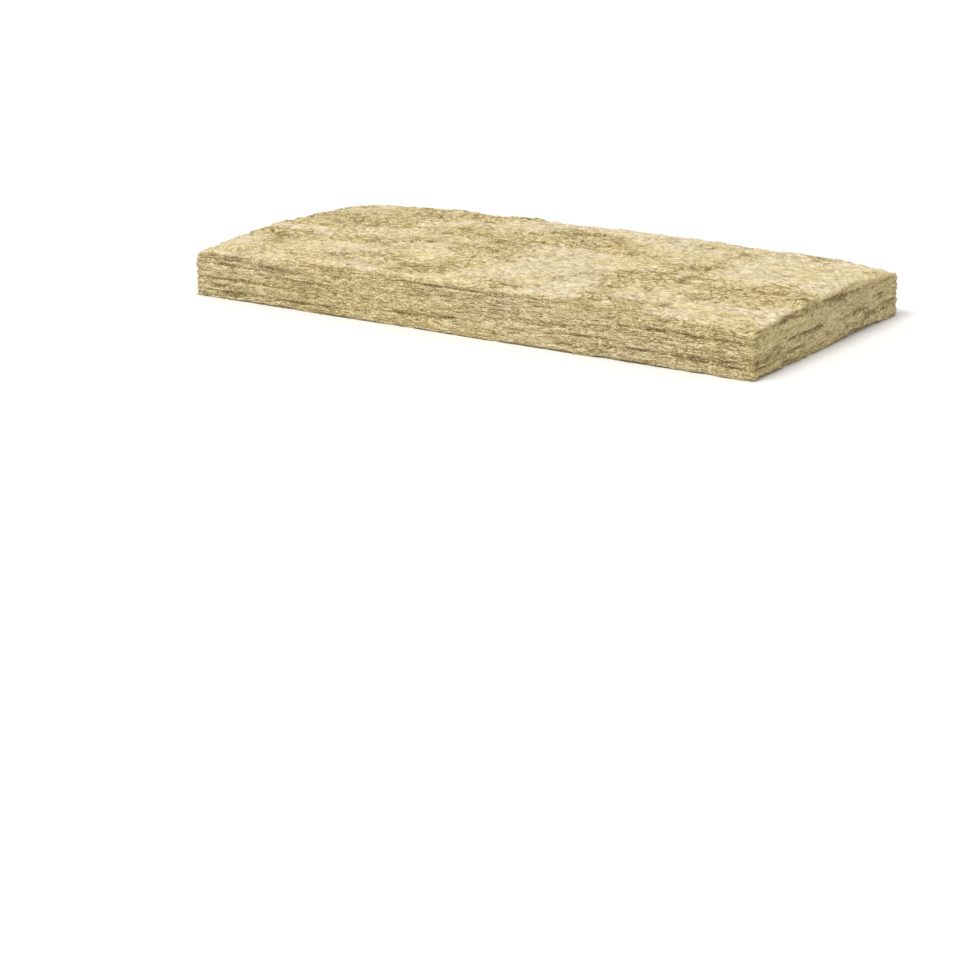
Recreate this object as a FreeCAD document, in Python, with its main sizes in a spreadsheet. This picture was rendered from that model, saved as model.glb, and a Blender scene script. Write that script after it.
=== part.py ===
"""Glass wool batt: one slab of resin-bonded mineral fibre, sawn to length and width, with no facing.

The slab lies flat. Its underside is level, its four sides are sawn square, and its upper face is crowned:
full thickness over the middle, a little less along the edges, and pinched at the four corners, where the
wrapping of the pack squeezed it. +X runs along the length, +Y across the width and +Z up, and the origin
is the middle of the underside. Millimetres.
"""

import FreeCAD, Part
import os

import Sketcher

DIMENSIONS = {
    "batt_length": 1170.0,
    "batt_width": 565.0,
    "batt_thickness": 100.0,  # at the crown, over the middle of the upper face
    "long_edge_drop": 6.0,  # how much thinner the slab is along its long edges
    "end_edge_drop": 4.0,  # how much thinner it is at the middle of its ends
    "corner_drop": 21.0,  # how much thinner it is at its corners
    "pinch_run": 190.0,  # distance from an end over which most of the pinch fades out
    "pinch_left": 0.2,  # share of the pinch that is still there at that distance
    "pinch_beyond": 1.22,  # share it would reach by the far side of the trim's clearance past an end
    "corner_radius": 9.0,  # the four upright corners
    "upper_edge_radius": 8.0,
    "lower_edge_radius": 4.0,
    "trim_clearance": 30.0,  # how far the crown's trim reaches past the slab, sideways and upwards
}
ORIGIN_POINT = (-1, 1)
VERTICAL_AXIS = -2
PARTS_FOLDER = "parts"
NODE = "batt"
TOLERANCE = 0.01


def make_document():
    """Makes the document and the sheet that holds every driving dimension."""
    document = FreeCAD.newDocument("GlassWoolBatt")
    sheet = document.addObject("Spreadsheet::Sheet", "dims")
    for row, (alias, value) in enumerate(DIMENSIONS.items(), start=1):
        sheet.set(f"A{row}", alias)
        sheet.set(f"B{row}", str(value))
        sheet.setAlias(f"B{row}", alias)
    document.recompute()
    return document, sheet


def new_sketch(body, name, role):
    """Adds a sketch to the body, flat on the origin plane that has this role."""
    plane = next(item for item in body.Origin.OriginFeatures if item.Role == role)
    sketch = body.newObject("Sketcher::SketchObject", name)
    sketch.AttachmentSupport = [(plane, "")]
    sketch.MapMode = "FlatFace"
    return sketch


def constrain(sketch, *facts):
    """Adds one geometric constraint to the sketch."""
    sketch.addConstraint(Sketcher.Constraint(*facts))


def bind(sketch, name, formula, *facts):
    """Adds one named dimension to the sketch and binds it to a formula of the sheet."""
    index = sketch.addConstraint(Sketcher.Constraint(*facts))
    sketch.renameConstraint(index, name)
    sketch.setExpression(f"Constraints.{name}", formula)


def add_polyline(sketch, points):
    """Draws straight lines from point to point, joined end to start."""
    lines = [
        sketch.addGeometry(Part.LineSegment(start, end))
        for start, end in zip(points, points[1:])
    ]
    for line, following in zip(lines, lines[1:]):
        constrain(sketch, "Coincident", line, 2, following, 1)
    return lines


def draw_plan(body, sheet):
    """Draws the sawn outline as seen from above, a rectangle about the origin."""
    half_length = sheet.batt_length / 2
    half_width = sheet.batt_width / 2
    corners = [
        FreeCAD.Vector(-half_length, -half_width, 0),
        FreeCAD.Vector(half_length, -half_width, 0),
        FreeCAD.Vector(half_length, half_width, 0),
        FreeCAD.Vector(-half_length, half_width, 0),
    ]
    sketch = new_sketch(body, "plan_outline", "XY_Plane")
    near, right, far, left = add_polyline(sketch, corners + corners[:1])
    constrain(sketch, "Coincident", left, 2, near, 1)
    for line in (near, far):
        constrain(sketch, "Horizontal", line)
    for line in (right, left):
        constrain(sketch, "Vertical", line)
    constrain(sketch, "Symmetric", near, 1, far, 1, *ORIGIN_POINT)
    bind(sketch, "length", "dims.batt_length", "DistanceX", near, 1, near, 2, sheet.batt_length)
    bind(sketch, "width", "dims.batt_width", "DistanceY", right, 1, right, 2, sheet.batt_width)
    return sketch


def draw_trim_section(body, sheet, name, station, side_drop, middle_drop):
    """Draws what is trimmed away above the crown at one station along the slab.

    station, side_drop and middle_drop are formulas of the sheet: the station's place along +X, and how far
    the upper face lies below full thickness there, at the long edges and in the middle. The sketch's own X
    runs across the slab and its Y upwards. Its lower side is the arc of the crown.
    """
    half_width = sheet.batt_width / 2
    reach = sheet.trim_clearance
    thickness = sheet.batt_thickness
    side_height = thickness - sheet.long_edge_drop
    outline = [
        FreeCAD.Vector(half_width, side_height, 0),
        FreeCAD.Vector(half_width + reach, side_height, 0),
        FreeCAD.Vector(half_width + reach, thickness + reach, 0),
        FreeCAD.Vector(-half_width - reach, thickness + reach, 0),
        FreeCAD.Vector(-half_width - reach, side_height, 0),
        FreeCAD.Vector(-half_width, side_height, 0),
    ]
    sketch = new_sketch(body, name, "YZ_Plane")
    sketch.setExpression("AttachmentOffset.Base.z", station)
    ledge, riser, top, faller, far_ledge = add_polyline(sketch, outline)
    crown_top = FreeCAD.Vector(0, thickness, 0)
    crown = sketch.addGeometry(Part.Arc(outline[0], crown_top, outline[-1]))
    constrain(sketch, "Coincident", crown, 1, ledge, 1)
    constrain(sketch, "Coincident", crown, 2, far_ledge, 2)
    for line in (ledge, top, far_ledge):
        constrain(sketch, "Horizontal", line)
    for line in (riser, faller):
        constrain(sketch, "Vertical", line)
    constrain(sketch, "PointOnObject", crown, 3, VERTICAL_AXIS)
    constrain(sketch, "Symmetric", ledge, 2, far_ledge, 1, VERTICAL_AXIS)
    rise = f"({side_drop} - {middle_drop})"
    radius = f"(dims.batt_width ^ 2 / 4 + {rise} ^ 2) / (2 * {rise})"
    start_radius = sketch.Geometry[crown].Radius
    bind(sketch, "half_width", "dims.batt_width / 2", "DistanceX", *ORIGIN_POINT, ledge, 1, half_width)
    bind(
        sketch, "side_height", f"dims.batt_thickness - {side_drop}",
        "DistanceY", *ORIGIN_POINT, ledge, 1, side_height,
    )
    bind(sketch, "crown_radius", radius, "Radius", crown, start_radius)
    bind(sketch, "side_reach", "dims.trim_clearance", "DistanceX", ledge, 1, ledge, 2, reach)
    bind(
        sketch, "upper_reach", "dims.batt_thickness + dims.trim_clearance",
        "DistanceY", *ORIGIN_POINT, riser, 2, thickness + reach,
    )
    return sketch


def drops(share):
    """Formulas for how far the long edges and the middle lie below the crown, where this share of the
    pinch is felt.
    """
    side_drop = f"(dims.long_edge_drop + {share} * (dims.corner_drop - dims.long_edge_drop))"
    middle_drop = f"({share} * dims.end_edge_drop)"
    return side_drop, middle_drop


def add_crown_trim(body, sheet):
    """Trims the blank to its crown with one smooth loft, from beyond one end to beyond the other."""
    stations = {
        "left_outer": ("-dims.batt_length / 2 - dims.trim_clearance", *drops("dims.pinch_beyond")),
        "left_end": ("-dims.batt_length / 2", *drops("1")),
        "left_inner": ("-dims.batt_length / 2 + dims.pinch_run", *drops("dims.pinch_left")),
        "middle": ("0", *drops("0")),
        "right_inner": ("dims.batt_length / 2 - dims.pinch_run", *drops("dims.pinch_left")),
        "right_end": ("dims.batt_length / 2", *drops("1")),
        "right_outer": ("dims.batt_length / 2 + dims.trim_clearance", *drops("dims.pinch_beyond")),
    }
    sections = [
        draw_trim_section(body, sheet, f"trim_{place}", *formulas)
        for place, formulas in stations.items()
    ]
    body.Document.recompute()
    trim = body.newObject("PartDesign::SubtractiveLoft", "crown_trim")
    trim.Profile = sections[0]
    trim.Sections = sections[1:]
    trim.Ruled = False
    return trim


def edge_names(shape, wanted):
    """Names of the shape's edges for which wanted(edge) is true."""
    return [f"Edge{number}" for number, edge in enumerate(shape.Edges, start=1) if wanted(edge)]


def add_rounding(body, name, wanted, radius):
    """Rounds the edges of the body's latest feature for which wanted(edge) is true."""
    base = body.Tip
    rounding = body.newObject("PartDesign::Fillet", name)
    rounding.Base = (base, edge_names(base.Shape, wanted))
    rounding.setExpression("Radius", f"dims.{radius}")
    body.Document.recompute()
    return rounding


def is_upright(edge):
    """Whether an edge runs straight up the slab's side."""
    box = edge.BoundBox
    return box.XLength < TOLERANCE and box.YLength < TOLERANCE


def build_batt(document, sheet):
    """Builds the slab: a padded blank, its upright corners, its crown and its upper and lower edges."""
    body = document.addObject("PartDesign::Body", "Batt")
    body.Label = NODE
    plan = draw_plan(body, sheet)
    blank = body.newObject("PartDesign::Pad", "sawn_blank")
    blank.Profile = plan
    blank.setExpression("Length", "dims.batt_thickness + dims.trim_clearance / 2")
    document.recompute()
    add_rounding(body, "upright_corners", is_upright, "corner_radius")
    blank_volume = body.Tip.Shape.Volume
    add_crown_trim(body, sheet)
    document.recompute()
    if body.Tip.Shape.Volume >= blank_volume:
        raise RuntimeError("the crown's trim removed nothing")
    half_thickness = sheet.batt_thickness / 2
    underside = body.Tip.Shape.BoundBox.ZMin
    add_rounding(
        body, "upper_edges",
        lambda edge: edge.BoundBox.ZMin > half_thickness, "upper_edge_radius",
    )
    add_rounding(
        body, "lower_edges",
        lambda edge: edge.BoundBox.ZMax < underside + TOLERANCE, "lower_edge_radius",
    )
    return body


def check(document, body):
    """Stops if any object of the document failed, or if the slab isn't one valid solid."""
    for item in document.Objects:
        if {"Invalid", "Error"} & set(item.State):
            raise RuntimeError(f"{item.Name} failed: {item.State}")
    shape = body.Shape
    if shape.isNull() or not shape.isValid() or len(shape.Solids) != 1:
        raise RuntimeError(f"{body.Label} is not one valid solid")


def main():
    """Builds the document, checks it and writes the slab's STEP file."""
    document, sheet = make_document()
    body = build_batt(document, sheet)
    document.recompute()
    check(document, body)
    os.makedirs(PARTS_FOLDER, exist_ok=True)
    body.Shape.exportStep(os.path.join(PARTS_FOLDER, f"{body.Label}.step"))
    box = body.Shape.optimalBoundingBox(False, False)
    litres = body.Shape.Volume / 1e6
    print(f"{body.Label}: {box.XLength:.2f} x {box.YLength:.2f} x {box.ZLength:.2f} mm, {litres:.3f} litres")


main()
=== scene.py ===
"""Glass wool batt: the visual model of one slab of mineral fibre, lying flat on a pale floor."""

import logging
import math
from dataclasses import dataclass, field
from enum import Enum
from functools import cached_property

import bpy
import numpy as np
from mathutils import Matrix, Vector
from mathutils.bvhtree import BVHTree


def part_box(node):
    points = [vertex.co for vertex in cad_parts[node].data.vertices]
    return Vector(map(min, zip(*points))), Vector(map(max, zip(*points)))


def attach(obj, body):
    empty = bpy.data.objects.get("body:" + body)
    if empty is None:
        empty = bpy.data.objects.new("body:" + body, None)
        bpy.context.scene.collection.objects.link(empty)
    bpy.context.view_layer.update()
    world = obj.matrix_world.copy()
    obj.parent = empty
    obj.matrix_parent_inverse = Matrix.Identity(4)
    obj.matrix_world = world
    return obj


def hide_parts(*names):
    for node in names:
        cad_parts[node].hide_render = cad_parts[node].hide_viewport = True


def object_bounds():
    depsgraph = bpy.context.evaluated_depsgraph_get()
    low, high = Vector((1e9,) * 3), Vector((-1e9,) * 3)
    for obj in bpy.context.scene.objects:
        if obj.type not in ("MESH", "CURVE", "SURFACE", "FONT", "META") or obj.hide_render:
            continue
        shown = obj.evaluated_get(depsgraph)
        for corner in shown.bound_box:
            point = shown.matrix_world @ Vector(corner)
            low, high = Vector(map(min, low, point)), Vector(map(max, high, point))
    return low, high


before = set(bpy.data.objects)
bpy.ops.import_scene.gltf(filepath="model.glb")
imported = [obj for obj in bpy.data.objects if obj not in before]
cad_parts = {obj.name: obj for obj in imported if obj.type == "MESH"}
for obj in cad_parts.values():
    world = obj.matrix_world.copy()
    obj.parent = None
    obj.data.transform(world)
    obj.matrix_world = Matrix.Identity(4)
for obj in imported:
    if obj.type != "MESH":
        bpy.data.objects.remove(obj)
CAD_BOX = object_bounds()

LOG = logging.getLogger("glass_wool_batt")
MM = 0.001
BODY = "root"
NODE = "batt"
BAKE_MAP = "OFBake"
SKIN_NAME = "wool_slab"
FACING_LIMITS = (0.45, 0.85)
CHART_COLUMNS = 48
CHART_MARGIN = 0.07
WARP_SIZES = (0.16, 0.09, 0.09)
WARP_SHIFTS = (0.0, 3.1, 7.7)


class Side(Enum):
    """The six faces of the slab."""

    TOP = 0
    UNDERSIDE = 1
    NEAR = 2
    FAR = 3
    LEFT_END = 4
    RIGHT_END = 5


def smoothstep(low: float, high: float, value: np.ndarray) -> np.ndarray:
    """Eases from 0 to 1 as a value passes between two limits.

    Args:
        low: where the result leaves 0.
        high: where the result reaches 1.
        value: the values to ease.

    Returns:
        The eased values.
    """
    share = np.clip((value - low) / (high - low), 0.0, 1.0)
    return share * share * (3.0 - 2.0 * share)


@dataclass(frozen=True)
class Turbulence:
    """Seeded gradient noise in space, for relief that doesn't repeat."""

    seed: int

    def _hash(self, cell: np.ndarray, salt: int) -> np.ndarray:
        """Turns whole-number cells into unrelated numbers from -1 to 1.

        Args:
            cell: cells, N by 3 whole numbers.
            salt: tells several numbers of one cell apart.

        Returns:
            N numbers.
        """
        mixed = cell[:, 0] * 73856093 ^ cell[:, 1] * 19349663 ^ cell[:, 2] * 83492791
        mixed = (mixed ^ (self.seed * 2654435 + salt * 97531)) & 0xFFFFFFFF
        mixed = ((mixed ^ (mixed >> 15)) * 2246822519) & 0xFFFFFFFF
        mixed = ((mixed ^ (mixed >> 13)) * 3266489917) & 0xFFFFFFFF
        mixed ^= mixed >> 16
        return (mixed & 0xFFFFFF) / float(0x7FFFFF) - 1.0

    def noise(self, points: np.ndarray) -> np.ndarray:
        """Smooth noise, about -1 to 1, with features about one unit apart.

        Args:
            points: N by 3 coordinates.

        Returns:
            N values.
        """
        base = np.floor(points)
        part = points - base
        cell = base.astype(np.int64)
        ease = part * part * part * (part * (part * 6.0 - 15.0) + 10.0)
        total = np.zeros(len(points))
        for corner in range(8):
            step = np.array([corner & 1, corner >> 1 & 1, corner >> 2 & 1])
            here = cell + step
            away = part - step
            slope = sum(self._hash(here, axis) * away[:, axis] for axis in range(3))
            weight = np.prod(np.where(step, ease, 1.0 - ease), axis=1)
            total += slope * weight
        return total * 1.25

    def fractal(self, points: np.ndarray, sizes: tuple, octaves: int = 3) -> np.ndarray:
        """Noise with finer noise on it.

        Args:
            points: N by 3 coordinates, in metres.
            sizes: length of the largest features along X, Y and Z, in metres.
            octaves: how many sizes of noise are added up, each half the last.

        Returns:
            N values, about -1 to 1.
        """
        scaled = points / np.array(sizes)
        total = np.zeros(len(points))
        share = 1.0
        for octave in range(octaves):
            total += share * self.noise(scaled * 2.0**octave + 17.3 * octave)
            share *= 0.5
        return total

    def crease(self, points: np.ndarray, sizes: tuple, width: float) -> np.ndarray:
        """Thin winding lines where the noise passes through zero.

        Args:
            points: N by 3 coordinates, in metres.
            sizes: length of the features along X, Y and Z, in metres.
            width: half-width of a line, as a share of the noise's range.

        Returns:
            N values, 1 on a line and 0 away from it.
        """
        return np.exp(-((self.fractal(points, sizes, 2) / width) ** 2))


@dataclass(frozen=True)
class Depths:
    """How far each kind of unevenness stands out or in, or wanders, in millimetres."""

    warp: tuple = (22.0, 16.0, 5.0)
    undulation_broad: float = 1.7
    undulation_sawn: float = 1.2
    terrace: float = 3.2
    clump: float = 0.4
    clump_ragged: float = 1.8
    crease: float = 5.5
    pit: float = 2.6
    layer_wander: float = 9.0
    layer_ripple: float = 1.5
    thick_layer: float = 11.0
    thin_layer: float = 6.0
    side_layer: float = 1.2
    side_groove: float = 1.4
    side_tuft: float = 0.7
    end_layer: float = 2.2
    end_groove: float = 2.8
    end_tuft: float = 1.2
    end_tuft_low: float = 2.8
    fray: float = 4.0
    fray_end: float = 2.5
    arris_nick: float = 3.0
    arris_undulation: float = 1.5
    arris_wear: float = 0.8
    underside_lift: float = 0.9


@dataclass
class Facing:
    """How much each point faces up, down, along or across, from 0 to 1."""

    out: np.ndarray
    up: np.ndarray = field(init=False)
    down: np.ndarray = field(init=False)
    end: np.ndarray = field(init=False)
    side: np.ndarray = field(init=False)
    broad: np.ndarray = field(init=False)
    sawn: np.ndarray = field(init=False)
    arris: np.ndarray = field(init=False)

    def __post_init__(self) -> None:
        """Works the shares out from the directions that face out."""
        self.up = smoothstep(*FACING_LIMITS, self.out[:, 2])
        self.down = smoothstep(*FACING_LIMITS, -self.out[:, 2])
        self.end = smoothstep(*FACING_LIMITS, np.abs(self.out[:, 0]))
        self.side = smoothstep(*FACING_LIMITS, np.abs(self.out[:, 1]))
        self.broad = self.up + self.down
        self.sawn = np.clip(self.end + self.side, 0.0, 1.0)
        self.arris = 1.0 - np.clip(self.up + self.down + self.sawn, 0.0, 1.0)


@dataclass
class Slab:
    """The slab itself: a closed skin that follows the sawn block, with the wool's own relief."""

    low: Vector
    high: Vector
    columns: int = 262
    rows: int = 126
    layers: int = 36
    long_edge_drop: float = 6.0 * MM
    end_edge_drop: float = 4.0 * MM
    corner_drop: float = 21.0 * MM
    upper_radius: float = 8.0 * MM
    lower_radius: float = 4.0 * MM
    seed: int = 11
    chart_gap: float = 12.0 * MM
    worn_middle: tuple = (-0.33, 0.15)
    worn_reach: tuple = (0.33, 0.17)
    worn_share: float = 0.5
    flake_steps: float = 3.2
    rim_share: float = 0.09
    depths: Depths = Depths()
    length: float = field(init=False)
    width: float = field(init=False)
    thickness: float = field(init=False)
    quads: np.ndarray = field(init=False)
    marks: dict = field(init=False)

    def __post_init__(self) -> None:
        """Takes the slab's size from the corners of its box."""
        self.length = self.high.x - self.low.x
        self.width = self.high.y - self.low.y
        self.thickness = self.high.z - self.low.z

    @cached_property
    def noises(self) -> tuple[Turbulence, Turbulence, Turbulence]:
        """Makes the three sources of noise that the relief draws on, once.

        Returns:
            The rough, the swirling and the fine one.
        """
        return Turbulence(self.seed), Turbulence(self.seed + 1), Turbulence(self.seed + 2)

    def crown_height(self, along: np.ndarray, across: np.ndarray) -> np.ndarray:
        """Height of the smooth upper face.

        Args:
            along: places along X, in metres.
            across: places along Y, in metres.

        Returns:
            Heights above the underside, in metres.
        """
        share = np.abs(2.0 * along / self.length) ** 4
        middle = share * self.end_edge_drop
        side = self.long_edge_drop + share * (self.corner_drop - self.long_edge_drop)
        return self.thickness - middle - (side - middle) * (2.0 * across / self.width) ** 2

    def lattice(self) -> tuple[np.ndarray, np.ndarray, np.ndarray]:
        """Lays out the skin's points and quads on the six sides of a block.

        Returns:
            The points from -1 to 1 on each axis, the quads as point numbers, and each quad's side.
        """
        counts = (self.columns, self.rows, self.layers)
        numbers: dict[tuple[int, int, int], int] = {}
        points: list[tuple[int, int, int]] = []
        quads: list[list[int]] = []
        sides: list[int] = []

        def number(point: tuple[int, int, int]) -> int:
            """Gives a lattice point its number, the same for every quad that meets it.

            Args:
                point: the point's place in the lattice.

            Returns:
                Its number.
            """
            if point not in numbers:
                numbers[point] = len(points)
                points.append(point)
            return numbers[point]

        plans = (
            (Side.TOP, 2, 1, 0, 1),
            (Side.UNDERSIDE, 2, 0, 1, 0),
            (Side.NEAR, 1, 0, 0, 2),
            (Side.FAR, 1, 1, 2, 0),
            (Side.LEFT_END, 0, 0, 2, 1),
            (Side.RIGHT_END, 0, 1, 1, 2),
        )
        for side, fixed, at_high, first, second in plans:
            for one in range(counts[first]):
                for two in range(counts[second]):
                    ring = []
                    for step_one, step_two in ((0, 0), (1, 0), (1, 1), (0, 1)):
                        place = [0, 0, 0]
                        place[fixed] = counts[fixed] if at_high else 0
                        place[first] = one + step_one
                        place[second] = two + step_two
                        ring.append(number(tuple(place)))
                    quads.append(ring)
                    sides.append(side.value)
        unit = np.array(points, float) / np.array(counts) * 2.0 - 1.0
        return unit, np.array(quads), np.array(sides)

    def smooth_block(self, unit: np.ndarray) -> tuple[np.ndarray, np.ndarray]:
        """Bends the lattice to the smooth slab, with rounded edges and the crowned upper face.

        Args:
            unit: lattice points from -1 to 1.

        Returns:
            Points in metres, and the direction that faces out at each.
        """
        half = np.array([self.length, self.width, self.thickness]) / 2.0
        place = unit * half
        radius = self.lower_radius + (self.upper_radius - self.lower_radius) * (unit[:, 2:] + 1.0) / 2.0
        inner = np.clip(place, radius - half, half - radius)
        out = place - inner
        reach = np.linalg.norm(out, axis=1, keepdims=True)
        out = out / np.maximum(reach, 1e-9)
        place = inner + out * radius
        height = (place[:, 2] + half[2]) / self.thickness
        place[:, 2] = height * self.crown_height(place[:, 0], place[:, 1])
        return place, out

    def broad_features(self, place: np.ndarray, facing: Facing) -> dict[str, np.ndarray]:
        """Works out the flakes, creases, clumps and pits of the broad faces.

        Args:
            place: points of the smooth slab, in metres.
            facing: which way each point faces.

        Returns:
            Named values of each point.
        """
        rough, swirl, fine = self.noises
        warp = np.stack([swirl.fractal(place + shift, WARP_SIZES, 3) for shift in WARP_SHIFTS], 1)
        bent = place + warp * np.array(self.depths.warp) * MM
        worn = (place[:, :2] - np.array(self.worn_middle)) / np.array(self.worn_reach)
        worn = np.exp(-(worn**2).sum(1)) * facing.up
        patches = rough.fractal(place + 1.7, (0.19, 0.13, 0.2), 3)
        ragged = smoothstep(-0.06, 0.44, patches + self.worn_share * worn)
        clumps = swirl.fractal(bent, (0.034, 0.024, 0.018), 3)
        flake = swirl.fractal(bent + 2.9, (0.11, 0.085, 0.075), 3) * self.flake_steps
        part = flake - np.floor(flake)
        terrace = np.floor(flake) + smoothstep(0.38, 0.62, part) - flake * 0.6
        # lip_shade is painted shade along the edges of the felt's flakes, where an upper layer overhangs the
        # next
        lip_shade = np.exp(-(((part - 0.5) / 0.14) ** 2))
        lip_shade *= smoothstep(-0.1, 0.4, fine.fractal(place + 9.0, (0.08, 0.05, 0.05), 2))
        crease = swirl.crease(bent + 4.0, (0.080, 0.062, 0.05), 0.06)
        crease = crease * smoothstep(0.0, 0.4, fine.fractal(place + 3.0, (0.07, 0.05, 0.05), 2))
        nicks = fine.crease(place + 21.0, (0.056, 0.048, 0.05), 0.08)
        nicks = nicks * smoothstep(0.05, 0.4, swirl.fractal(place + 27.0, (0.06, 0.05, 0.05), 2))
        crease = np.maximum(crease, nicks * (0.4 + 0.6 * ragged))
        pits = smoothstep(0.25, 0.7, fine.fractal(bent + 2.0, (0.026, 0.014, 0.014), 2)) * ragged
        return {
            "ragged": ragged, "clumps": clumps, "terrace": terrace, "lip_shade": lip_shade, "crease": crease, "pits": pits,
        }

    def layer_features(self, place: np.ndarray, facing: Facing) -> dict[str, np.ndarray]:
        """Works out the layers, grooves, tufts and frayed rims of the sawn sides.

        Args:
            place: points of the smooth slab, in metres.
            facing: which way each point faces.

        Returns:
            Named values of each point.
        """
        rough, swirl, fine = self.noises
        depths = self.depths
        height = place[:, 2] / self.thickness
        slow = np.stack([place[:, 0] / 0.34, place[:, 1] / 0.34, height * 1.2], 1)
        wander = rough.fractal(slow, (1.0, 1.0, 1.0), 3) * depths.layer_wander * MM
        ripple = fine.fractal(place, (0.10, 0.08, 0.03), 2) * depths.layer_ripple * MM
        layer = place[:, 2] + wander + ripple
        thick = np.stack([place[:, 0] / 0.34, place[:, 1] / 0.26, layer / (depths.thick_layer * MM)], 1)
        thin = np.stack([place[:, 0] / 0.17, place[:, 1] / 0.13, layer / (depths.thin_layer * MM)], 1)
        strata = fine.noise(thick) * 1.3 + swirl.noise(thin) * 0.9
        broken = smoothstep(-0.3, 0.25, fine.fractal(place + 15.0, (0.055, 0.045, 0.012), 3))
        groove = smoothstep(0.18 - 0.08 * facing.end, 0.55 - 0.1 * facing.end, -strata) * broken
        fray = smoothstep(0.0, 0.5, rough.fractal(place + 12.0, (0.045, 0.035, 0.03), 3))
        rim = np.exp(-height / self.rim_share) + 0.5 * np.exp(-(1.0 - height) / self.rim_share)
        tuft = rough.fractal(place + 5.0, (0.022, 0.018, 0.011), 3)
        coarse = 1.0 - smoothstep(0.25, 0.6, height)
        return {
            "strata": strata, "groove": groove, "fray": fray, "rim": rim, "tuft": tuft, "coarse": coarse,
        }

    def relief(self, place: np.ndarray, out: np.ndarray) -> tuple[np.ndarray, dict[str, np.ndarray]]:
        """Works out how far the wool's own relief stands out or in, where its creases, grooves and hollows get
        painted shade, and where it is pale or torn.

        Args:
            place: points of the smooth slab, in metres.
            out: the direction that faces out at each.

        Returns:
            Distances outwards in metres, and named values from 0 to 1 for the finish to read.
        """
        rough, _, fine = self.noises
        depths = self.depths
        facing = Facing(out)
        broad, sawn, end = facing.broad, facing.sawn, facing.end
        felt = self.broad_features(place, facing)
        cut = self.layer_features(place, facing)
        undulation = rough.fractal(place, (0.21, 0.13, 0.13), 3)
        nick = fine.fractal(place + 6.0, (0.028, 0.028, 0.014), 3)

        move = undulation * (depths.undulation_broad * broad + depths.undulation_sawn * sawn) * MM
        clump = felt["clumps"] * (depths.clump + depths.clump_ragged * felt["ragged"])
        felted = felt["terrace"] * depths.terrace + clump
        move += broad * (felted - felt["crease"] * depths.crease - felt["pits"] * depths.pit) * MM
        sides = cut["strata"] * depths.side_layer - cut["groove"] * depths.side_groove
        frayed = sawn * cut["fray"] * cut["rim"] * (depths.fray + depths.fray_end * end) * MM
        move += facing.side * (sides + cut["tuft"] * depths.side_tuft) * MM - frayed
        ends = cut["strata"] * depths.end_layer - cut["groove"] * depths.end_groove
        tufts = cut["tuft"] * (depths.end_tuft + depths.end_tuft_low * cut["coarse"])
        move += end * (ends + tufts) * MM
        worn_arris = nick * depths.arris_nick + undulation * depths.arris_undulation - depths.arris_wear
        move += (facing.arris * worn_arris - facing.down * depths.underside_lift) * MM

        # Painted shade in the hollows between the coarse tufts of the ends' lower half
        tuft_gap_shade = end * cut["coarse"] * smoothstep(0.2, 0.65, -cut["tuft"])
        marks = {
            # crease: painted shade in the creases, along the flake edges and in the pits
            "crease": np.clip(broad * (felt["crease"] + 0.7 * felt["lip_shade"] + 0.6 * felt["pits"]), 0.0, 1.0),
            # groove: painted shade in the grooves of the sawn sides and between the end tufts
            "groove": np.clip(sawn * cut["groove"] + tuft_gap_shade, 0.0, 1.0),
            "ragged": felt["ragged"],
            "clumps": np.clip(felt["clumps"] * 0.5 + 0.5, 0.0, 1.0),
            "strata": np.clip(cut["strata"] * 0.5 + 0.5, 0.0, 1.0),
            "sawn": sawn,
            "end": end,
            "underside": facing.down,
        }
        return move, marks

    def charts(self, place: np.ndarray, quads: np.ndarray, sides: np.ndarray) -> np.ndarray:
        """Unfolds the six sides onto one square, side by side, for a flat picture of the finish.

        Args:
            place: points of the smooth slab, in metres.
            quads: point numbers of each quad.
            sides: the side that each quad belongs to.

        Returns:
            A pair of coordinates from 0 to 1 for each corner of each quad.
        """
        gap = self.chart_gap
        rows = (gap, 2 * gap + self.width, 3 * gap + 2 * self.width, 4 * gap + 2 * self.width + self.thickness)
        right = 2 * gap + self.length
        seats = {
            Side.TOP: (0, 1, gap, rows[0]),
            Side.UNDERSIDE: (0, 1, gap, rows[1]),
            Side.NEAR: (0, 2, gap, rows[2]),
            Side.FAR: (0, 2, gap, rows[3]),
            Side.LEFT_END: (2, 1, right, rows[0]),
            Side.RIGHT_END: (2, 1, right, rows[1]),
        }
        start = np.array([-self.length / 2, -self.width / 2, 0.0])
        corners = place[quads] - start
        flat = np.zeros((len(quads), 4, 2))
        for side, (first, second, left, bottom) in seats.items():
            mine = sides == side.value
            flat[mine, :, 0] = corners[mine][:, :, first] + left
            flat[mine, :, 1] = corners[mine][:, :, second] + bottom
        return flat / (rows[3] + self.thickness + gap)

    def build(self) -> bpy.types.Object:
        """Makes the slab's mesh object.

        Returns:
            The object.
        """
        unit, quads, sides = self.lattice()
        place, out = self.smooth_block(unit)
        move, marks = self.relief(place, out)
        self.quads, self.marks = quads, marks
        moved = place + out * move[:, None]
        moved[:, 2] = np.maximum(moved[:, 2], 0.0)
        mesh = bpy.data.meshes.new(SKIN_NAME)
        mesh.from_pydata(moved.tolist(), [], quads.tolist())
        mesh.update()
        for name, values in marks.items():
            made = mesh.attributes.new(name, "FLOAT", "POINT")
            made.data.foreach_set("value", values.astype(np.float32))
        uv = mesh.uv_layers.new(name=BAKE_MAP)
        uv.data.foreach_set("uv", self.charts(place, quads, sides).astype(np.float32).ravel())
        mesh.shade_smooth()
        slab = bpy.data.objects.new(SKIN_NAME, mesh)
        bpy.context.scene.collection.objects.link(slab)
        return slab


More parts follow.
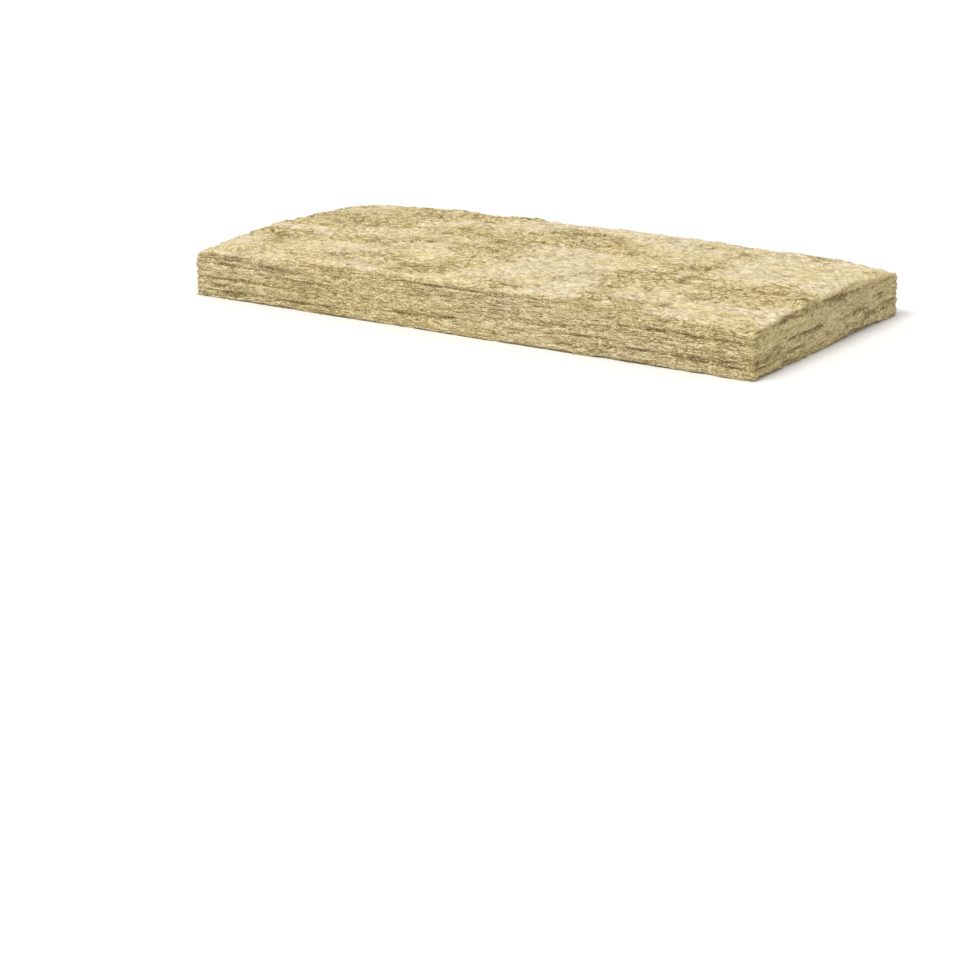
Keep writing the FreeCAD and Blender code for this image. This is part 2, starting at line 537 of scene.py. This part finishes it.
def quad_facts(piece: bpy.types.Object) -> tuple[np.ndarray, np.ndarray, np.ndarray]:
    """Reads a piece's faces.

    Args:
        piece: the piece.

    Returns:
        The middle of each face, the direction it faces and its area.
    """
    faces = piece.data.polygons
    centres = np.empty(len(faces) * 3, np.float32)
    normals = np.empty(len(faces) * 3, np.float32)
    areas = np.empty(len(faces), np.float32)
    faces.foreach_get("center", centres)
    faces.foreach_get("normal", normals)
    faces.foreach_get("area", areas)
    return centres.reshape(-1, 3).astype(float), normals.reshape(-1, 3).astype(float), areas


@dataclass(frozen=True)
class Lay:
    """How the fibres of one part of the skin lie."""

    name: str
    sides: tuple
    count: int
    along: tuple
    mean_length: float
    half_width: float
    swirl: float
    stray: float
    lift: float
    seed: int


@dataclass
class FibreCoat:
    """Loose fibres on the skin: thin tapered strands that follow the surface or stand a little off it.

    The jitter is in millimetres.
    """

    lay: Lay
    skin: bpy.types.Object
    slab: Slab
    knots: int = 5
    jitter: float = 2.2
    least_facing: float = 0.55

    def roots(self, draw: np.random.Generator) -> tuple[np.ndarray, ...]:
        """Picks where the strands lie, more of them where the skin is ragged.

        Args:
            draw: the source of random numbers.

        Returns:
            Middle points of the strands, the direction that faces out at each, how ragged each place is, and
            how much painted shade it gets.
        """
        centres, normals, areas = quad_facts(self.skin)
        facing = np.zeros(len(centres), bool)
        for side in self.lay.sides:
            axis, sign = SIDE_FACING[side]
            facing |= normals[:, axis] * sign > self.least_facing
        marks = {name: values[self.slab.quads].mean(1) for name, values in self.slab.marks.items()}
        ragged = np.maximum(marks["ragged"], marks["sawn"])
        # Painted shade for the strands: darker over the creases, the grooves and the low layers of the sawn
        # sides
        layered = (0.5 - marks["strata"]) * (0.9 * marks["sawn"] + 0.6 * marks["end"])
        shade = marks["crease"] + 0.8 * marks["groove"] + layered
        chance = np.where(facing, areas, 0.0).astype(float) * (0.45 + 0.55 * ragged)
        picked = draw.choice(len(centres), self.lay.count, p=chance / chance.sum())
        jitter = draw.uniform(-self.jitter, self.jitter, (self.lay.count, 3)) * MM
        return centres[picked] + jitter, normals[picked], ragged[picked], shade[picked]

    def paths(self, draw: np.random.Generator) -> tuple[np.ndarray, ...]:
        """Lays each strand along the skin.

        Args:
            draw: the source of random numbers.

        Returns:
            The knots of each strand, in metres, how ragged its place is and how much painted shade it gets.
        """
        lay = self.lay
        middle, out, ragged, shade = self.roots(draw)
        count = lay.count
        swirl = Turbulence(lay.seed + 40)
        main = np.array(lay.along, float)[None, :] * np.ones((count, 1))
        across = np.cross(out, main)
        across /= np.maximum(np.linalg.norm(across, axis=1, keepdims=True), 1e-6)
        main = np.cross(across, out)
        turn = swirl.fractal(middle, (0.12, 0.08, 0.08), 2) * lay.swirl + draw.normal(0.0, lay.stray, count)
        bend = draw.normal(0.0, 0.55, count)
        length = lay.mean_length * np.minimum(draw.lognormal(0.0, 0.45, count), 2.0)
        steps = np.linspace(-0.5, 0.5, self.knots)
        tree = BVHTree.FromObject(self.skin, bpy.context.evaluated_depsgraph_get())
        lift = np.abs(draw.normal(0.0, lay.lift, (count, self.knots)))
        lift[:, 1:-1] *= 0.5
        knots = np.empty((count, self.knots, 3))
        for index, step in enumerate(steps):
            angle = turn + bend * step
            away = main * np.cos(angle)[:, None] + across * np.sin(angle)[:, None]
            knots[:, index] = middle + away * (length * step)[:, None]
        flat = knots.reshape(-1, 3)
        rise = lift.ravel()
        for index in range(len(flat)):
            spot, normal, _, _ = tree.find_nearest(Vector(flat[index]))
            flat[index] = spot + normal * (lay.half_width * 0.4 + rise[index])
        knots = flat.reshape(count, self.knots, 3)
        return knots, ragged, shade

    def build(self) -> bpy.types.Object:
        """Makes the strands' mesh object.

        Returns:
            The object.
        """
        draw = np.random.default_rng(self.lay.seed)
        knots, ragged, shade = self.paths(draw)
        width = self.lay.half_width * draw.lognormal(0.0, 0.5, len(knots))
        tone = draw.uniform(0.0, 1.0, len(knots)) * (0.45 + 0.45 * ragged) + 0.5 * (1.0 - ragged)
        # Each strand's random tone, less the painted shade of its place
        tone = np.clip(tone + 0.08 - shade, 0.0, 1.0)
        return strand_mesh(self.lay.name, knots, width, tone, ragged)


SIDE_FACING = {
    Side.TOP: (2, 1.0),
    Side.UNDERSIDE: (2, -1.0),
    Side.NEAR: (1, -1.0),
    Side.FAR: (1, 1.0),
    Side.LEFT_END: (0, -1.0),
    Side.RIGHT_END: (0, 1.0),
}


def strand_mesh(
    name: str,
    knots: np.ndarray,
    width: np.ndarray,
    tone: np.ndarray,
    ragged: np.ndarray,
    facets: int = 3,
) -> bpy.types.Object:
    """Makes one mesh of closed strands, each tapering to a point at both ends.

    Args:
        name: the object's name.
        knots: the knots of each strand, in metres.
        width: each strand's half-width in metres.
        tone: each strand's tone from 0, dark, to 1, pale: its own random tone, less any painted shade of its
            place.
        ragged: how ragged its place is, from 0 to 1.
        facets: how many sides a strand has.

    Returns:
        The new object.
    """
    knots = knots.copy()
    knots[:, :, 2] = np.maximum(knots[:, :, 2], width[:, None])
    count, rings = knots.shape[0], knots.shape[1] - 2
    run = np.gradient(knots, axis=1)
    run /= np.maximum(np.linalg.norm(run, axis=2, keepdims=True), 1e-9)
    first = np.cross(run, np.array([0.31, 0.17, 0.93]))
    first /= np.maximum(np.linalg.norm(first, axis=2, keepdims=True), 1e-9)
    second = np.cross(run, first)
    shape = np.sin(np.linspace(0.0, math.pi, rings + 2))[1:-1] ** 0.6
    per = 2 + rings * facets
    points = np.empty((count, per, 3))
    points[:, 0] = knots[:, 0]
    points[:, 1] = knots[:, -1]
    for ring in range(rings):
        size = (width * shape[ring])[:, None]
        for facet in range(facets):
            angle = 2.0 * math.pi * facet / facets
            offset = first[:, ring + 1] * math.cos(angle) + second[:, ring + 1] * math.sin(angle)
            points[:, 2 + ring * facets + facet] = knots[:, ring + 1] + offset * size
    faces = []
    marks = []
    for facet in range(facets):
        following = (facet + 1) % facets
        low, high = facet / facets, (facet + 1) / facets
        faces.append((0, 2 + following, 2 + facet))
        marks.append(((0.0, low), (1.0 / (rings + 1), high), (1.0 / (rings + 1), low)))
        for ring in range(rings - 1):
            a, b = 2 + ring * facets + facet, 2 + ring * facets + following
            left, right = (ring + 1) / (rings + 1), (ring + 2) / (rings + 1)
            faces.append((a, b, b + facets))
            marks.append(((left, low), (left, high), (right, high)))
            faces.append((a, b + facets, a + facets))
            marks.append(((left, low), (right, high), (right, low)))
        last = 2 + (rings - 1) * facets
        faces.append((1, last + facet, last + following))
        marks.append(((1.0, low), (rings / (rings + 1), low), (rings / (rings + 1), high)))
    triangles = (np.array(faces)[None] + (np.arange(count) * per)[:, None, None]).reshape(-1, 3)
    mesh = bpy.data.meshes.new(name)
    mesh.from_pydata(points.reshape(-1, 3).tolist(), [], triangles.tolist())
    mesh.update()
    end = np.full(count, float(name == "end_fibres"))
    for label, values in (("tone", tone), ("ragged", ragged), ("end", end)):
        mark = mesh.attributes.new(label, "FLOAT", "POINT")
        mark.data.foreach_set("value", np.repeat(values, per).astype(np.float32))
    lines = math.ceil(count / CHART_COLUMNS)
    cell = np.stack([np.arange(count) % CHART_COLUMNS, np.arange(count) // CHART_COLUMNS], 1).astype(float)
    flat = np.array(marks).reshape(1, -1, 2) * (1.0 - 2.0 * CHART_MARGIN) + CHART_MARGIN + cell[:, None, :]
    flat /= np.array([CHART_COLUMNS, lines])
    uv = mesh.uv_layers.new(name=BAKE_MAP)
    uv.data.foreach_set("uv", flat.astype(np.float32).ravel())
    mesh.shade_smooth()
    made = bpy.data.objects.new(name, mesh)
    bpy.context.scene.collection.objects.link(made)
    return made


@dataclass(frozen=True)
class Fringe:
    """Frayed fibres that stand out from the slab's edges."""

    slab: Slab
    name: str = "edge_fringe"
    count: int = 7000
    mean_length: float = 5.0 * MM
    half_width: float = 0.24 * MM
    knots: int = 5
    seed: int = 77

    def build(self, skin: bpy.types.Object) -> bpy.types.Object:
        """Makes the fringe's mesh object.

        Args:
            skin: the slab's object, which the fringe grows from.

        Returns:
            The new object.
        """
        draw = np.random.default_rng(self.seed)
        centres, normals, _ = quad_facts(skin)
        crown = self.slab.crown_height(centres[:, 0], centres[:, 1])
        near = np.stack(
            [
                self.slab.length / 2 - np.abs(centres[:, 0]),
                self.slab.width / 2 - np.abs(centres[:, 1]),
                np.minimum(centres[:, 2], crown - centres[:, 2]) * 0.7,
            ],
            1,
        )
        close = np.sort(near, axis=1)[:, 1]
        chance = np.exp(-np.maximum(close, 0.0) / (5.0 * MM)) * (centres[:, 2] > 1.0 * MM)
        picked = draw.choice(len(centres), self.count, p=chance / chance.sum())
        start = centres[picked] + draw.uniform(-2.0, 2.0, (self.count, 3)) * MM
        away = normals[picked] + draw.normal(0.0, 0.55, (self.count, 3))
        along = np.where(np.abs(normals[picked][:, :1]) > 0.6, [[0.0, 1.0, 0.0]], [[1.0, 0.0, 0.0]])
        away = away * 0.55 + along * draw.normal(0.0, 0.9, (self.count, 1))
        away /= np.linalg.norm(away, axis=1, keepdims=True)
        length = self.mean_length * np.minimum(draw.lognormal(0.0, 0.5, self.count), 2.2)
        curl = draw.normal(0.0, 0.45, (self.count, 3))
        knots = np.empty((self.count, self.knots, 3))
        for index, step in enumerate(np.linspace(-0.35, 0.65, self.knots)):
            knots[:, index] = start + (away * step + curl * step * step) * length[:, None]
        width = self.half_width * draw.lognormal(0.0, 0.3, self.count)
        return strand_mesh(self.name, knots, width, draw.uniform(0.3, 1.0, self.count), np.ones(self.count))


@dataclass(frozen=True)
class Tones:
    """The wool's colours, as linear red, green and blue; the deep one also serves as painted shade."""

    bright: tuple = (1.00, 0.89, 0.56)
    golden: tuple = (0.97, 0.83, 0.46)
    pale: tuple = (0.88, 0.75, 0.51)
    straw: tuple = (0.84, 0.69, 0.32)
    olive: tuple = (0.63, 0.47, 0.13)
    brown: tuple = (0.36, 0.245, 0.070)
    # deep: the slits of the fibre grain, and the painted shade of creases, grooves and tears
    deep: tuple = (0.185, 0.115, 0.028)


@dataclass
class NodeBench:
    """Short ways to add and join a material's nodes."""

    tree: bpy.types.NodeTree

    def add(self, kind: str, **settings: object) -> bpy.types.Node:
        """Adds a node.

        Args:
            kind: the node's type.
            settings: its properties by name.

        Returns:
            The node.
        """
        node = self.tree.nodes.new(kind)
        for name, value in settings.items():
            setattr(node, name, value)
        return node

    def join(self, source: object, target: object) -> None:
        """Links an output to an input, or sets the input if the source is a plain value.

        Args:
            source: a node's output, or a plain value.
            target: the input.
        """
        if isinstance(source, bpy.types.NodeSocket):
            self.tree.links.new(source, target)
        else:
            target.default_value = source

    def math(self, operation: str, *inputs: object, clamp: bool = False) -> bpy.types.NodeSocket:
        """Adds a math node.

        Args:
            operation: the node's operation.
            inputs: its inputs, outputs of other nodes or numbers.
            clamp: whether the result is kept from 0 to 1.

        Returns:
            Its output.
        """
        node = self.add("ShaderNodeMath", operation=operation, use_clamp=clamp)
        for source, target in zip(inputs, node.inputs):
            self.join(source, target)
        return node.outputs[0]

    def blend(
        self, first: bpy.types.NodeSocket, second: bpy.types.NodeSocket, share: bpy.types.NodeSocket
    ) -> bpy.types.NodeSocket:
        """Goes from the first value to the second as the share goes from 0 to 1.

        Args:
            first: the value where the share is 0.
            second: the value where the share is 1.
            share: the share, from 0 to 1.

        Returns:
            The blended value.
        """
        return self.math("MULTIPLY_ADD", self.math("SUBTRACT", second, first), share, first)

    def mix(self, factor: object, first: object, second: object) -> bpy.types.NodeSocket:
        """Mixes two colours.

        Args:
            factor: how much of the second shows.
            first: the first colour.
            second: the second colour.

        Returns:
            The mixed colour.
        """
        node = self.add("ShaderNodeMix", data_type="RGBA")
        self.join(factor, node.inputs[0])
        for source, target in ((first, node.inputs[6]), (second, node.inputs[7])):
            self.join((*source, 1.0) if isinstance(source, tuple) else source, target)
        return node.outputs[2]

    def read(self, name: str) -> bpy.types.NodeSocket:
        """Reads one of the mesh's named values.

        Args:
            name: the value's name.

        Returns:
            The value.
        """
        return self.add("ShaderNodeAttribute", attribute_name=name).outputs["Fac"]

    def stretched(self, source: object, sizes: tuple, detail: float, seed: float) -> bpy.types.NodeSocket:
        """Noise whose features have these lengths.

        Args:
            source: the coordinates.
            sizes: feature lengths along X, Y and Z, in metres.
            detail: how many finer sizes are on it.
            seed: shifts the noise.

        Returns:
            Values round 0.5.
        """
        mapping = self.add("ShaderNodeMapping")
        self.join(source, mapping.inputs["Vector"])
        mapping.inputs["Scale"].default_value = tuple(1.0 / size for size in sizes)
        mapping.inputs["Location"].default_value = (seed, seed * 0.7, seed * 1.3)
        noise = self.add("ShaderNodeTexNoise")
        noise.inputs["Scale"].default_value = 1.0
        noise.inputs["Detail"].default_value = detail
        noise.inputs["Roughness"].default_value = 0.6
        self.join(mapping.outputs[0], noise.inputs["Vector"])
        return noise.outputs[0]

    def ramp(self, source: object, low: float, high: float) -> bpy.types.NodeSocket:
        """Stretches a value so that low becomes 0 and high becomes 1.

        Args:
            source: the value.
            low: what becomes 0.
            high: what becomes 1.

        Returns:
            The stretched value.
        """
        node = self.add("ShaderNodeMapRange", interpolation_type="SMOOTHSTEP")
        self.join(source, node.inputs[0])
        node.inputs[1].default_value = low
        node.inputs[2].default_value = high
        return node.outputs[0]


@dataclass(frozen=True)
class WoolFinish:
    """The skin's finish: streaks, strata and stains of felted mineral fibre, with painted shade in its creases,
    grooves, pits and tear lines.
    """

    tones: Tones = Tones()
    name: str = "felted_wool"

    def material(self) -> bpy.types.Material:
        """Makes the material.

        Returns:
            The material.
        """
        material = bpy.data.materials.new(self.name)
        material.use_nodes = True
        bench = NodeBench(material.node_tree)
        shader = material.node_tree.nodes["Principled BSDF"]
        place = bench.add("ShaderNodeTexCoord").outputs["Object"]
        warp_noise = bench.add("ShaderNodeTexNoise")
        warp_noise.inputs["Scale"].default_value = 10.0
        warp_noise.inputs["Detail"].default_value = 1.0
        bench.join(place, warp_noise.inputs["Vector"])
        centred = bench.add("ShaderNodeVectorMath", operation="SUBTRACT")
        bench.join(warp_noise.outputs["Color"], centred.inputs[0])
        centred.inputs[1].default_value = (0.5, 0.5, 0.5)
        scaled = bench.add("ShaderNodeVectorMath", operation="MULTIPLY")
        bench.join(centred.outputs[0], scaled.inputs[0])
        scaled.inputs[1].default_value = (0.08, 0.06, 0.012)
        warped = bench.add("ShaderNodeVectorMath", operation="ADD")
        bench.join(place, warped.inputs[0])
        bench.join(scaled.outputs[0], warped.inputs[1])
        bent = warped.outputs[0]

        lengthwise = bench.stretched(bent, (0.030, 0.0026, 0.0022), 4.0, 1.0)
        crosswise = bench.stretched(bent, (0.0026, 0.024, 0.0024), 4.0, 5.0)
        matted = bench.stretched(bent, (0.012, 0.0062, 0.005), 4.0, 3.0)
        sawn = bench.read("sawn")
        streak = bench.blend(bench.blend(matted, lengthwise, sawn), crosswise, bench.read("end"))
        grain = bench.stretched(place, (0.004, 0.0022, 0.0020), 3.0, 9.0)
        patch = bench.stretched(bent, (0.15, 0.080, 0.055), 3.0, 13.0)
        stain = bench.stretched(place, (0.40, 0.20, 0.14), 2.0, 21.0)

        sheets = bench.stretched(bent, (0.20, 0.20, 0.0036), 3.0, 31.0)
        tear_field = bench.stretched(bent, (0.062, 0.048, 0.036), 2.0, 41.0)
        tear_share = bench.stretched(bent, (0.060, 0.040, 0.040), 1.0, 51.0)
        ragged = bench.read("ragged")
        clumps = bench.read("clumps")
        strata = bench.read("strata")
        tones = self.tones
        torn_share = bench.math("MULTIPLY", ragged, 0.6)
        pale_share = bench.math("SUBTRACT", bench.ramp(patch, 0.34, 0.58), torn_share, clamp=True)
        top = bench.mix(pale_share, tones.straw, tones.pale)
        olive_share = bench.math("MULTIPLY", ragged, bench.ramp(clumps, 0.95, 0.30))
        top = bench.mix(olive_share, top, tones.olive)
        lively = bench.math("MAXIMUM", sawn, bench.math("MULTIPLY_ADD", ragged, 0.6, 0.4))
        # Tear lines: thin cracks, pressed in by the bump and darkened further down as painted shade
        off_line = bench.math("ABSOLUTE", bench.math("SUBTRACT", tear_field, 0.5))
        tear = bench.math("MULTIPLY", bench.ramp(off_line, 0.020, 0.005), bench.ramp(tear_share, 0.47, 0.53))
        tear = bench.math("MULTIPLY", tear, bench.math("MULTIPLY_ADD", ragged, 0.6, 0.4))
        tear = bench.math("MULTIPLY", tear, bench.math("MULTIPLY_ADD", sawn, -0.8, 1.0))
        cut = bench.mix(bench.ramp(strata, 0.05, 0.50), tones.olive, tones.straw)
        cut = bench.mix(bench.math("MULTIPLY", bench.ramp(stain, 0.42, 0.6), 0.6), cut, tones.pale)
        cut = bench.mix(bench.math("MULTIPLY", bench.ramp(sheets, 0.47, 0.38), 0.95), cut, tones.brown)
        colour = bench.mix(sawn, top, cut)
        colour = bench.mix(bench.math("MULTIPLY", bench.read("underside"), 0.5), colour, tones.olive)
        colour = bench.mix(bench.math("MULTIPLY", bench.ramp(streak, 0.50, 0.40), lively), colour, tones.brown)
        colour = bench.mix(bench.math("MULTIPLY", bench.ramp(streak, 0.50, 0.60), 0.9), colour, tones.bright)
        specks = bench.math("MULTIPLY", bench.ramp(grain, 0.49, 0.38), bench.math("MULTIPLY", lively, 0.75))
        colour = bench.mix(specks, colour, tones.brown)
        slits = bench.math("MULTIPLY", bench.ramp(streak, 0.42, 0.34), bench.math("MULTIPLY", lively, 0.8))
        colour = bench.mix(slits, colour, tones.deep)
        flecks = bench.math("MULTIPLY", bench.ramp(grain, 0.53, 0.62), bench.math("MULTIPLY", lively, 0.8))
        colour = bench.mix(flecks, colour, tones.bright)
        colour = bench.mix(bench.math("MULTIPLY", bench.read("end"), 0.35), colour, tones.straw)
        # Painted shade: creases, flake edges, pits, grooves, tuft hollows and tear lines go towards the deep
        # brown, broken up by the grain
        painted_shade = bench.math("ADD", bench.read("crease"), bench.read("groove"), clamp=True)
        broken = bench.ramp(grain, 0.60, 0.44)
        painted_shade = bench.math("MULTIPLY", painted_shade, bench.math("MULTIPLY_ADD", broken, 0.7, 0.3))
        painted_shade = bench.math("MAXIMUM", bench.math("MULTIPLY", painted_shade, 0.85), bench.math("MULTIPLY", tear, 0.85))
        colour = bench.mix(painted_shade, colour, tones.deep)
        bench.join(colour, shader.inputs["Base Color"])

        bench.join(bench.math("MULTIPLY_ADD", grain, 0.2, 0.78), shader.inputs["Roughness"])
        shader.inputs["Specular IOR Level"].default_value = 0.25
        shader.inputs["Sheen Weight"].default_value = 0.12
        shader.inputs["Sheen Roughness"].default_value = 0.6
        height = bench.math("MULTIPLY_ADD", tear, -1.0, bench.math("MULTIPLY_ADD", grain, 0.5, streak))
        bump = bench.add("ShaderNodeBump")
        bump.inputs["Strength"].default_value = 0.9
        bump.inputs["Distance"].default_value = 2.2 * MM
        bench.join(height, bump.inputs["Height"])
        bench.join(bump.outputs[0], shader.inputs["Normal"])
        return material


@dataclass(frozen=True)
class StrandFinish:
    """The loose fibres' finish: pale resin-coated glass with small changes of tone from strand to strand, and
    painted shade on strands that lie over creases and grooves.
    """

    tones: "Tones"
    name: str = "loose_fibre"

    def material(self) -> bpy.types.Material:
        """Makes the material.

        Returns:
            The material.
        """
        material = bpy.data.materials.new(self.name)
        material.use_nodes = True
        bench = NodeBench(material.node_tree)
        shader = material.node_tree.nodes["Principled BSDF"]
        place = bench.add("ShaderNodeTexCoord").outputs["Object"]
        tone = bench.stretched(place, (0.012, 0.006, 0.006), 3.0, 2.0)
        broad = bench.stretched(place, (0.18, 0.07, 0.05), 2.0, 6.0)
        drift = bench.math("SUBTRACT", broad, 0.5)
        share = bench.math("MULTIPLY_ADD", drift, 1.6, bench.read("tone"), clamp=True)
        share = bench.math("MULTIPLY_ADD", bench.math("SUBTRACT", tone, 0.5), 0.8, share, clamp=True)
        ragged = bench.read("ragged")
        dark = bench.mix(ragged, self.tones.olive, self.tones.brown)
        light = bench.mix(ragged, self.tones.pale, self.tones.golden)
        light = bench.mix(bench.math("MULTIPLY", bench.read("end"), 0.5), light, self.tones.straw)
        bench.join(bench.mix(share, dark, light), shader.inputs["Base Color"])
        bench.join(bench.math("MULTIPLY_ADD", tone, 0.25, 0.5), shader.inputs["Roughness"])
        shader.inputs["Specular IOR Level"].default_value = 0.35
        bump = bench.add("ShaderNodeBump")
        bump.inputs["Strength"].default_value = 0.3
        bump.inputs["Distance"].default_value = 0.2 * MM
        bench.join(tone, bump.inputs["Height"])
        bench.join(bump.outputs[0], shader.inputs["Normal"])
        return material


@dataclass(frozen=True)
class Studio:
    """The pale floor, the soft light and the camera."""

    sky_strength: float = 0.62
    key_strength: float = 0.54
    key_toward: tuple = (-0.16, -0.44, 0.884)
    key_softness: float = math.radians(28.0)
    floor_half: float = 40.0
    floor_gap: float = 0.2 * MM
    sensor_width: float = 36.0
    camera_place: tuple = (2.381, -3.843, 1.06)
    camera_aim: tuple = (-0.5211, 0.8000, -0.2977)
    lens: float = 92.97

    def floor(self) -> None:
        """Makes the level floor that the slab lies on."""
        half = self.floor_half
        mesh = bpy.data.meshes.new("floor")
        corners = [(-half, -half, 0), (half, -half, 0), (half, half, 0), (-half, half, 0)]
        mesh.from_pydata(corners, [], [(0, 1, 2, 3)])
        floor = bpy.data.objects.new("floor", mesh)
        floor.location.z = -self.floor_gap
        bpy.context.scene.collection.objects.link(floor)
        material = bpy.data.materials.new("floor_paint")
        material.use_nodes = True
        bench = NodeBench(material.node_tree)
        shader = material.node_tree.nodes["Principled BSDF"]
        seen = bench.add("ShaderNodeLightPath").outputs["Is Camera Ray"]
        bench.join(bench.mix(seen, (0.80, 0.80, 0.80), (0.98, 0.98, 0.98)), shader.inputs["Base Color"])
        shader.inputs["Roughness"].default_value = 1.0
        shader.inputs["Specular IOR Level"].default_value = 0.0
        floor.data.materials.append(material)

    def light(self) -> None:
        """Lights the scene with an even sky and one soft key lamp."""
        world = bpy.data.worlds.new("studio_sky")
        world.use_nodes = True
        sky = world.node_tree.nodes["Background"]
        sky.inputs["Color"].default_value = (1.0, 1.0, 1.0, 1.0)
        sky.inputs["Strength"].default_value = self.sky_strength
        bench = NodeBench(world.node_tree)
        white = bench.add("ShaderNodeBackground")
        white.inputs["Strength"].default_value = 1.0
        white.inputs["Color"].default_value = (1.0, 1.0, 1.0, 1.0)
        choice = bench.add("ShaderNodeMixShader")
        bench.join(bench.add("ShaderNodeLightPath").outputs["Is Camera Ray"], choice.inputs[0])
        bench.join(sky.outputs[0], choice.inputs[1])
        bench.join(white.outputs[0], choice.inputs[2])
        bench.join(choice.outputs[0], world.node_tree.nodes["World Output"].inputs["Surface"])
        bpy.context.scene.world = world
        lamp = bpy.data.lights.new("key_lamp", "SUN")
        lamp.energy = self.key_strength * math.pi
        lamp.angle = self.key_softness
        key = bpy.data.objects.new("key_lamp", lamp)
        key.rotation_euler = (-Vector(self.key_toward)).to_track_quat("-Z", "Y").to_euler()
        bpy.context.scene.collection.objects.link(key)

    def camera(self) -> None:
        """Sets up the camera."""
        data = bpy.data.cameras.new("camera")
        data.lens = self.lens
        data.sensor_width = self.sensor_width
        camera = bpy.data.objects.new("camera", data)
        camera.location = self.camera_place
        camera.rotation_euler = Vector(self.camera_aim).to_track_quat("-Z", "Y").to_euler()
        bpy.context.scene.collection.objects.link(camera)
        bpy.context.scene.camera = camera


LAYS = (
    Lay(
        "top_fibres", (Side.TOP,), count=8000, along=(1, 0, 0), mean_length=15 * MM,
        half_width=0.28 * MM, swirl=1.9, stray=1.0, lift=0.4 * MM, seed=31,
    ),
    Lay(
        "underside_fibres", (Side.UNDERSIDE,), count=6000, along=(1, 0, 0), mean_length=24 * MM,
        half_width=0.30 * MM, swirl=1.8, stray=0.9, lift=0.2 * MM, seed=32,
    ),
    Lay(
        "long_side_fibres", (Side.NEAR, Side.FAR), count=8000, along=(1, 0, 0), mean_length=16 * MM,
        half_width=0.26 * MM, swirl=0.35, stray=0.16, lift=0.4 * MM, seed=33,
    ),
    Lay(
        "end_fibres", (Side.LEFT_END, Side.RIGHT_END), count=5500, along=(0, 1, 0), mean_length=9 * MM,
        half_width=0.28 * MM, swirl=0.5, stray=0.4, lift=0.8 * MM, seed=34,
    ),
)


def dress(piece: bpy.types.Object, material: bpy.types.Material) -> None:
    """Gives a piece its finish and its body.

    Args:
        piece: the piece.
        material: its finish.
    """
    piece.data.materials.append(material)
    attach(piece, BODY)
    LOG.info("%s: %d faces", piece.name, len(piece.data.polygons))


def main(cad_box: tuple) -> None:
    """Builds every piece in order.

    Args:
        cad_box: the CAD model's box, lowest and highest corner; not used.
    """
    logging.basicConfig(level=logging.INFO, format="%(message)s")
    bpy.context.scene.view_settings.view_transform = "Standard"
    studio = Studio()
    studio.camera()
    studio.light()
    studio.floor()
    low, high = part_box(NODE)
    slab = Slab(Vector(low), Vector(high))
    skin = slab.build()
    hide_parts(NODE)
    dress(skin, WoolFinish().material())
    strand = StrandFinish(Tones()).material()
    for lay in LAYS:
        dress(FibreCoat(lay, skin, slab).build(), strand)
    dress(Fringe(slab).build(skin), strand)
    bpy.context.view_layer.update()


if __name__ == "__main__":
    main(CAD_BOX)
